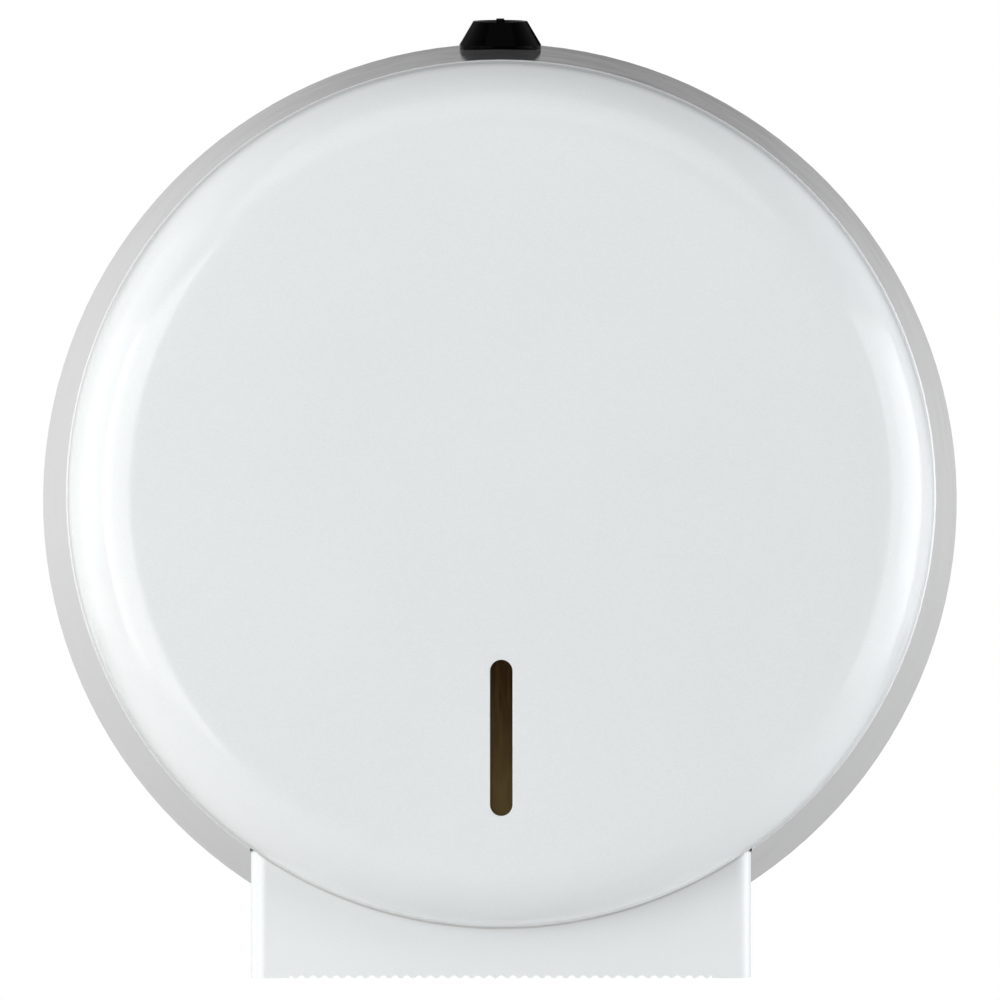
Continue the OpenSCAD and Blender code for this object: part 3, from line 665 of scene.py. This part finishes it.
# %% [markdown]
# ## Cutting, joining and softening
#
# Slots and recesses are cut with the Boolean modifier and its exact solver. Afterwards the sharp
# edges get a small bevel, because no moulded or stamped edge is perfectly sharp, and it is this
# thin rounding that catches the light. Weighted normals keep the large faces flat next to it.

# %% Modifier helpers
PAST = 1  # mm; a cutting block goes this far past what it cuts


def cut(piece, tool, operation="DIFFERENCE"):
    """Cuts piece with tool and deletes the tool."""
    modifier = piece.modifiers.new("cut", "BOOLEAN")
    modifier.object, modifier.operation, modifier.solver = tool, operation, "EXACT"
    piece = baked(piece)
    bpy.data.objects.remove(tool)
    return piece


def joined(name, pieces):
    """One mesh from several pieces."""
    work = bmesh.new()
    for piece in pieces:
        work.from_mesh(piece.data)
    mesh = bpy.data.meshes.new(name)
    work.to_mesh(mesh)
    work.free()
    for piece in pieces:
        bpy.data.objects.remove(piece)
    return new_object(name, mesh)


def softened(piece, width, steps=3, angle=35):
    """Bevels edges steeper than angle by width mm."""
    bevel = piece.modifiers.new("bevel", "BEVEL")
    bevel.width, bevel.segments, bevel.limit_method = width * MM, steps, "ANGLE"
    bevel.angle_limit, bevel.use_clamp_overlap, bevel.miter_outer = math.radians(angle), False, "MITER_ARC"
    piece.modifiers.new("normals", "WEIGHTED_NORMAL").keep_sharp = True
    for face in piece.data.polygons:
        face.use_smooth = True
    return baked(piece)


def prism(name, outline, low, high):
    """A closed block of outline (x, y) in mm, from low to high."""
    work = bmesh.new()
    face = work.faces.new([work.verts.new((x * MM, y * MM, low * MM)) for x, y in outline])
    raised = bmesh.ops.extrude_face_region(work, geom=[face])["geom"]
    bmesh.ops.translate(work, verts=[v for v in raised if isinstance(v, bmesh.types.BMVert)],
        vec=(0, 0, (high - low) * MM))
    bmesh.ops.recalc_face_normals(work, faces=work.faces)
    mesh = bpy.data.meshes.new(name)
    work.to_mesh(mesh)
    work.free()
    return new_object(name, mesh)


def hand_over(piece, body, node):
    """The finished piece rides on body, stands for node and takes its finish."""
    dress(piece.data, node)
    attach(piece, body)
    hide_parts(node)
    print(piece.name, len(piece.data.polygons), "faces, stands for", node)


# %% [markdown]
# ## The dish
#
# The white dish is the face of the dispenser. It is one moulding: a flat front, a shoulder of
# large radius, an even wall behind it, and on the inside eight bosses for screws and two studs
# for the window. It turns about the dispenser's axis, so the turning tree makes it. Its outer
# sizes are read from the construction.

# %% The dish's shell
def box_mm(node):
    low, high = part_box(node)
    return low / MM, high / MM


dish_low, dish_high = box_mm("front_cover")
DISH_R = (dish_high.x - dish_low.x) / 2
FACE, SEAT = -dish_low.y, -dish_high.y  # distance from the wall to the face and to the dish's edge
WALL, SHOULDER = 2.4, 22.0
EDGE = (0.35, 4)  # fillet and its steps

dish = turned("dish", [
    (0, FACE, *SHARP), (DISH_R, FACE, SHOULDER, 36), (DISH_R, SEAT, *EDGE), (DISH_R - WALL, SEAT, *EDGE),
    (DISH_R - WALL, FACE - WALL, SHOULDER - WALL, 20), (0, FACE - WALL, *SHARP)], 256, white_plastic)
print("dish radius", round(DISH_R, 2), "from", round(SEAT, 2), "to", round(FACE, 2), "mm")

# %% [markdown]
# The slot is cut through the face. The cutting block has round ends of the slot's own radius.
# The bosses start as plain posts from the dish's edge to beyond its face. What lies inside a core,
# which is the dish without its outer half wall, is kept, so each boss ends in the wall.

# %% The slot
SLOT_W, SLOT_NEAR, SLOT_FAR = 6.4, 47.6, 92.1  # NEAR and FAR are distances below the axis
SLOT_STEPS = 14  # in each round end
BLOCK_BACK, BLOCK_FRONT = FACE - 5, FACE + 2  # the ends of the cutting block


def on_circle(radius, angle):
    return radius * math.cos(angle), radius * math.sin(angle)


def slot_outline(half_w, near, far):
    """A strip from near to far with two round ends."""
    outline = []
    for middle, start in (-near - half_w, 0), (-far + half_w, math.pi):
        for step in range(SLOT_STEPS + 1):
            x, y = on_circle(half_w, start + step * math.pi / SLOT_STEPS)
            outline.append((x, middle + y))
    return outline


outline = slot_outline(SLOT_W / 2, SLOT_NEAR, SLOT_FAR)
dish = cut(dish, prism("slot_block", outline, BLOCK_BACK, BLOCK_FRONT))
print("slot", SLOT_W, "x", round(SLOT_FAR - SLOT_NEAR, 1), "mm")

# %% Bosses
UP = (0, 0, 1)
BOSS_R, BOSS_COUNT, BOSS_INSET = 3.5, 8, 7.2  # INSET from the dish's radius
CORE_INSET = 1.2  # half the wall

boss = turned("boss", [(0, 0, *SHARP), (BOSS_R, 0, 0.3, 3), (BOSS_R, FACE - SEAT, *SHARP),
    (0, FACE - SEAT, *SHARP)], 32, white_plastic)
first = -math.pi / 2 + math.pi / BOSS_COUNT
angles = [first + i * 2 * math.pi / BOSS_COUNT for i in range(BOSS_COUNT)]
places = [on_circle((DISH_R - BOSS_INSET) * MM, angle) for angle in angles]
bosses = set_out("bosses", boss, [((x, y, SEAT * MM), UP) for x, y in places], white_plastic)
core_r, core_face = DISH_R - CORE_INSET, FACE - CORE_INSET
core = turned("core", [(0, core_face, *SHARP), (core_r, core_face, SHOULDER - CORE_INSET, 20),
    (core_r, SEAT - PAST, *SHARP), (0, SEAT - PAST, *SHARP)], 128, white_plastic)
bosses = cut(bosses, core, "INTERSECT")
print("bosses:", len(places))

# %% Studs
STUD_R, STUD_LENGTH = 1.5, 5
STUD_OUT, STUD_GAP = 4.2, 3.7  # how far it stands out of the inner wall, and off the slot's ends

stud = turned("stud", [(0, 0, *SHARP), (STUD_R, 0, 0.4, 3), (STUD_R, STUD_LENGTH, *SHARP),
    (0, STUD_LENGTH, *SHARP)], 24, white_plastic)
stud_end = (FACE - WALL - STUD_OUT) * MM
stud_rows = (STUD_GAP - SLOT_NEAR, -STUD_GAP - SLOT_FAR)
studs = set_out("studs", stud, [((0, y * MM, stud_end), UP) for y in stud_rows], white_plastic)
for unit in (boss, stud):
    bpy.data.objects.remove(unit)
print("studs:", len(stud_rows))

# %% The whole dish
DISH_BEVEL = 0.3

dish = softened(dish, DISH_BEVEL)
dish = joined("dish", [dish, bosses, studs])
dish.data.transform(ON_WALL)
hand_over(dish, "cover", "front_cover")

# %% [markdown]
# ## Screws
#
# Eight screws go into the bosses of the dish, six of them through the ring's flange and two
# through the chute's front wall. Four hold the chute's sides to the ring, four the spindle and two
# the catch. They are all pan-head screws that cut their own thread in plastic,
# and only their length differs. The thread is a helix, so it can't be turned. Geometry Nodes make
# it from a flat grid that is wrapped round the axis: the radius of each point follows its phase,
# which grows with the height and with the angle. That is the rule of every thread.

# %% The threading tree
ROWS_PER_TURN = 7
END_ROWS = 3  # one row more than there are steps, and one on the axis at each end to close it
GROOVE_FLAT = 0.2  # share of the pitch from the middle of the groove to where its flank starts
TIP = 0.3  # share of the radius at the point
THREAD_ANGLE = 1.0  # radians; a thread's flanks are shaded smooth up to this


def threading_tree():
    tree, given = tree_with("threading", Radius="Float", Length="Float", Pitch="Float", Depth="Float",
        Point="Float", Segments="Int", Material="Material")
    turns = math_node(tree, "DIVIDE", given["Length"], given["Pitch"])
    steps = math_node(tree, "ROUND", math_node(tree, "MULTIPLY", turns, ROWS_PER_TURN))
    rows = math_node(tree, "ADD", steps, END_ROWS)
    grid, row, turn = round_grid(tree, given["Segments"], rows)
    share = ramp(tree, row, 1.0, math_node(tree, "SUBTRACT", rows, 2))
    depth = math_node(tree, "MULTIPLY", share, given["Length"])
    phase = math_node(tree, "ADD", math_node(tree, "DIVIDE", depth, given["Pitch"]), turn)
    crest = math_node(tree, "ABSOLUTE", math_node(tree, "SUBTRACT", math_node(tree, "FRACT", phase), 0.5))
    groove = ramp(tree, crest, GROOVE_FLAT, 0.5, given["Depth"], 0.0)
    radius = math_node(tree, "SUBTRACT", given["Radius"], groove)
    left = math_node(tree, "SUBTRACT", given["Length"], depth)
    taper = ramp(tree, left, 0.0, given["Point"], TIP, 1.0)
    # The first row and the last one lie on the axis. The rows between them are the wall.
    after_first = math_node(tree, "GREATER_THAN", row, 0.5)
    before_last = math_node(tree, "LESS_THAN", row, math_node(tree, "SUBTRACT", rows, 1.5))
    wall = math_node(tree, "MULTIPLY", after_first, before_last)
    wrap(tree, grid, math_node(tree, "MULTIPLY", radius, taper, wall), turn,
        math_node(tree, "MULTIPLY", depth, -1), given["Material"], sharp_angle=THREAD_ANGLE)
    return tree


THREADING = threading_tree()
print("threading tree:", len(THREADING.nodes), "nodes")

# %% [markdown]
# The head is turned with a domed top, and the cross for the driver is cut into it. Its arms get
# narrower with depth on a real screw, but at this size straight arms look the same.

# %% One screw
SCREW_R, HEAD_R, HEAD_T = 1.7, 3.2, 2.0
RIM_T, DOME_R, DOME_T = HEAD_T * 0.45, 1.9, HEAD_T * 0.86  # the upright rim, and where the dome bends
CROSS_ARM, CROSS_HALF_W = 1.75, 0.42  # the cross goes down to the height of the rim
HEAD_BEVEL = 0.07
OVERLAP = 0.3  # the thread starts inside the head
SCREW_THREAD = {"Pitch": 0.0012, "Depth": 0.0004, "Point": 0.001, "Segments": 20}  # lengths in m


def cross_outline(arm, half_w):
    corner = [(arm, -half_w), (arm, half_w), (half_w, half_w)]
    return [(x * math.cos(a) - y * math.sin(a), x * math.sin(a) + y * math.cos(a))
        for a in (i * math.pi / 2 for i in range(4)) for x, y in corner]


def threaded(name, radius, length, **sizes):
    """A threaded rod along Z that goes down from z = 0."""
    mesh = bpy.data.meshes.new(name)
    return run_tree(name, mesh, THREADING, Radius=radius * MM, Length=length * MM, **sizes)


def pan_head_screw(length):
    """A screw along Z whose head sits on z = 0 and whose thread goes down."""
    head = turned("head", [(0, HEAD_T, *SHARP), (DOME_R, DOME_T, 1.6, 5), (HEAD_R, RIM_T, 0.4, 4),
        (HEAD_R, 0, 0.12, 2), (0, 0, *SHARP)], 40, steel)
    cross = prism("cross", cross_outline(CROSS_ARM, CROSS_HALF_W), RIM_T, HEAD_T + PAST)
    head = softened(cut(head, cross), HEAD_BEVEL, steps=2, angle=40)
    thread = threaded("thread", SCREW_R, length + OVERLAP, Material=steel, **SCREW_THREAD)
    thread.data.transform(Matrix.Translation((0, 0, OVERLAP * MM)))
    return joined("screw", [head, thread])


print("screws", 2 * SCREW_R, "mm thick, heads", 2 * HEAD_R, "mm")

# %% [markdown]
# Each screw's place is read from the construction, where its node holds one island of faces for
# each screw. The screw's axis is known for each node, and the head is at the end that is wide.

# %% Places of the screws
SAME_POINT = 1e-6  # m
WIDE = 0.95  # a point this share of the head's radius away from the axis belongs to the head


def islands(node):
    """The points of each separate piece in a node, with doubles merged first."""
    work = bmesh.new()
    work.from_mesh(nodes[node].data)
    bmesh.ops.remove_doubles(work, verts=work.verts, dist=SAME_POINT)
    left, found = set(work.verts), []
    while left:
        island, edge = set(), {left.pop()}
        while edge:
            island |= edge
            edge = {e.other_vert(v) for v in edge for e in v.link_edges} - island
        left -= island
        found.append([v.co.copy() for v in island])
    work.free()
    return found


def screw_places(node, axis):
    """The point under each head and the direction from tip to head."""
    across = [i for i in range(3) if i != axis]
    places = []
    for points in islands(node):
        low, high = (Vector(f(p[i] for p in points) for i in range(3)) for f in (min, max))
        middle = (low + high) / 2
        wide = [p[axis] for p in points
            if math.hypot(*(p[i] - middle[i] for i in across)) > WIDE * HEAD_R * MM]
        way = Vector((0, 0, 0))
        way[axis] = 1 if sum(wide) / len(wide) > middle[axis] else -1
        place = middle.copy()
        place[axis] = (high if way[axis] > 0 else low)[axis] - way[axis] * HEAD_T * MM
        places.append((place, way))
    return places


print("cover screws:", len(islands("cover_screws")))

# %% All screws
X, Y = 0, 1
SCREWS = (  # node, body, axis, length under the head in mm
    ("cover_screws", "cover", Y, 10), ("chute_screws", "cover", X, 6.5),
    ("spindle_screws", "base", Y, 5.5), ("catch_screws", "base", Y, 4.5))
for node, body, axis, length in SCREWS:
    screw = pan_head_screw(length)
    hand_over(set_out("threaded_" + node, screw, screw_places(node, axis), steel), body, node)
    bpy.data.objects.remove(screw)

# %% [markdown]
# ## The lock's body
#
# The lock stands on the top of the side ring. Its black body is a short cone round a recess, with
# a wide base that sits on the ring and a threaded barrel that goes through it to a nut. It could
# be cut from the same section as the construction. Here its edges get a radius too: on black
# gloss plastic the edges are all that can be seen, as thin pale lines. The base is cut by the
# ring's own cone, so it sits on the ring all the way round.

# %% Lock body
LOCK_PLACE, LOCK_TILT = (0, -0.027, 0.1355648), 7.4697  # m, and degrees: the slope of the ring's cone
LOCK_AT = Matrix.Translation(LOCK_PLACE) @ Matrix.Rotation(math.radians(LOCK_TILT), 4, "X")
BORE_R, RECESS_R, RECESS_FLOOR = 5.05, 6.85, 4.8
TOP_R, TOP, BASE_R, BASE_T, FOOT = 8.1, 8, 12.3, 0.9, -1.2  # FOOT is inside the ring's cone and cut off
RING_BACK, RING_FRONT, RING_DEPTH = 139.105, 125.6, 103.0  # radius at the wall and in front, depth
SEAT_GAP, LOCK_BEVEL = 0.02, 0.12

lock_body = turned("lock_body", [
    (BORE_R, FOOT, *SHARP), (BORE_R, RECESS_FLOOR, *SHARP), (RECESS_R, RECESS_FLOOR, *SHARP),
    (RECESS_R, TOP, 0.2, 4), (TOP_R, TOP, 0.35, 5), (BASE_R, BASE_T, 0.5, 5), (BASE_R, FOOT, *SHARP),
    (BORE_R, FOOT, *SHARP)], 160, black_plastic, LOCK_AT)
seat = turned("ring_cone", [(0, 0, *SHARP), (RING_BACK + SEAT_GAP, 0, *SHARP),
    (RING_FRONT + SEAT_GAP, RING_DEPTH, *SHARP), (0, RING_DEPTH, *SHARP)], 512, black_plastic, ON_WALL)
lock_body = softened(cut(lock_body, seat), LOCK_BEVEL, steps=2, angle=50)
print("lock body", len(lock_body.data.polygons), "faces")

# %% Threaded barrel
BARREL_R, BARREL_END, BORE_STEPS = 8.0, -8.4, 64
BARREL_THREAD = {"Pitch": 0.0015, "Depth": 0.0005, "Point": 0.0, "Segments": 64}

barrel = threaded("barrel", BARREL_R, FOOT - BARREL_END, Material=black_plastic, **BARREL_THREAD)
barrel.data.transform(Matrix.Translation((0, 0, FOOT * MM)))
bore = [on_circle(BORE_R, i * math.pi / (BORE_STEPS / 2)) for i in range(BORE_STEPS)]
barrel = cut(barrel, prism("bore", bore, BARREL_END - PAST, 0))
barrel.data.transform(LOCK_AT)
hand_over(joined("lock_housing", [lock_body, barrel]), "cover", "lock_bezel")

# %% [markdown]
# ## Floor
#
# The dispenser hangs on a wall, but a wall would hide its back from other views. A pale floor
# well below it catches its soft shadow instead. The lamps are aimed at the dispenser and leave
# the floor dim, so the paper also glows a little, for the camera only. Its shadows stay.

# %% Floor
FLOOR_Z, FLOOR_HALF = -0.62, 2.0  # m
PAPER_LEVEL, PAPER_DRIFT, PAPER_WAVES, PAPER_ROUGH, PAPER_GLOW = 236, 0.01, 3, 0.9, 0.5

paper, tree, shader, place = new_material("floor_paper")
drift_colour(tree, shader, noise(tree, place, PAPER_WAVES), grey(PAPER_LEVEL), PAPER_DRIFT)
shader.inputs["Roughness"].default_value = PAPER_ROUGH
for_camera = add(tree, "ShaderNodeLightPath").outputs["Is Camera Ray"]
glow = add(tree, "ShaderNodeEmission", {"Color": (*WHITE, 1),
    "Strength": math_node(tree, "MULTIPLY", for_camera, PAPER_GLOW)})
both = add(tree, "ShaderNodeAddShader", {0: shader.outputs[0], 1: glow.outputs[0]})
tree.links.new(both.outputs[0], tree.nodes["Material Output"].inputs["Surface"])

mesh = bpy.data.meshes.new("floor")
mesh.from_pydata([(x * FLOOR_HALF, y * FLOOR_HALF, FLOOR_Z) for x, y in ((-1, -1), (1, -1), (1, 1), (-1, 1))],
    [], [(0, 1, 2, 3)])
mesh.materials.append(paper)
floor = new_object("floor", mesh)
print("floor at", FLOOR_Z)
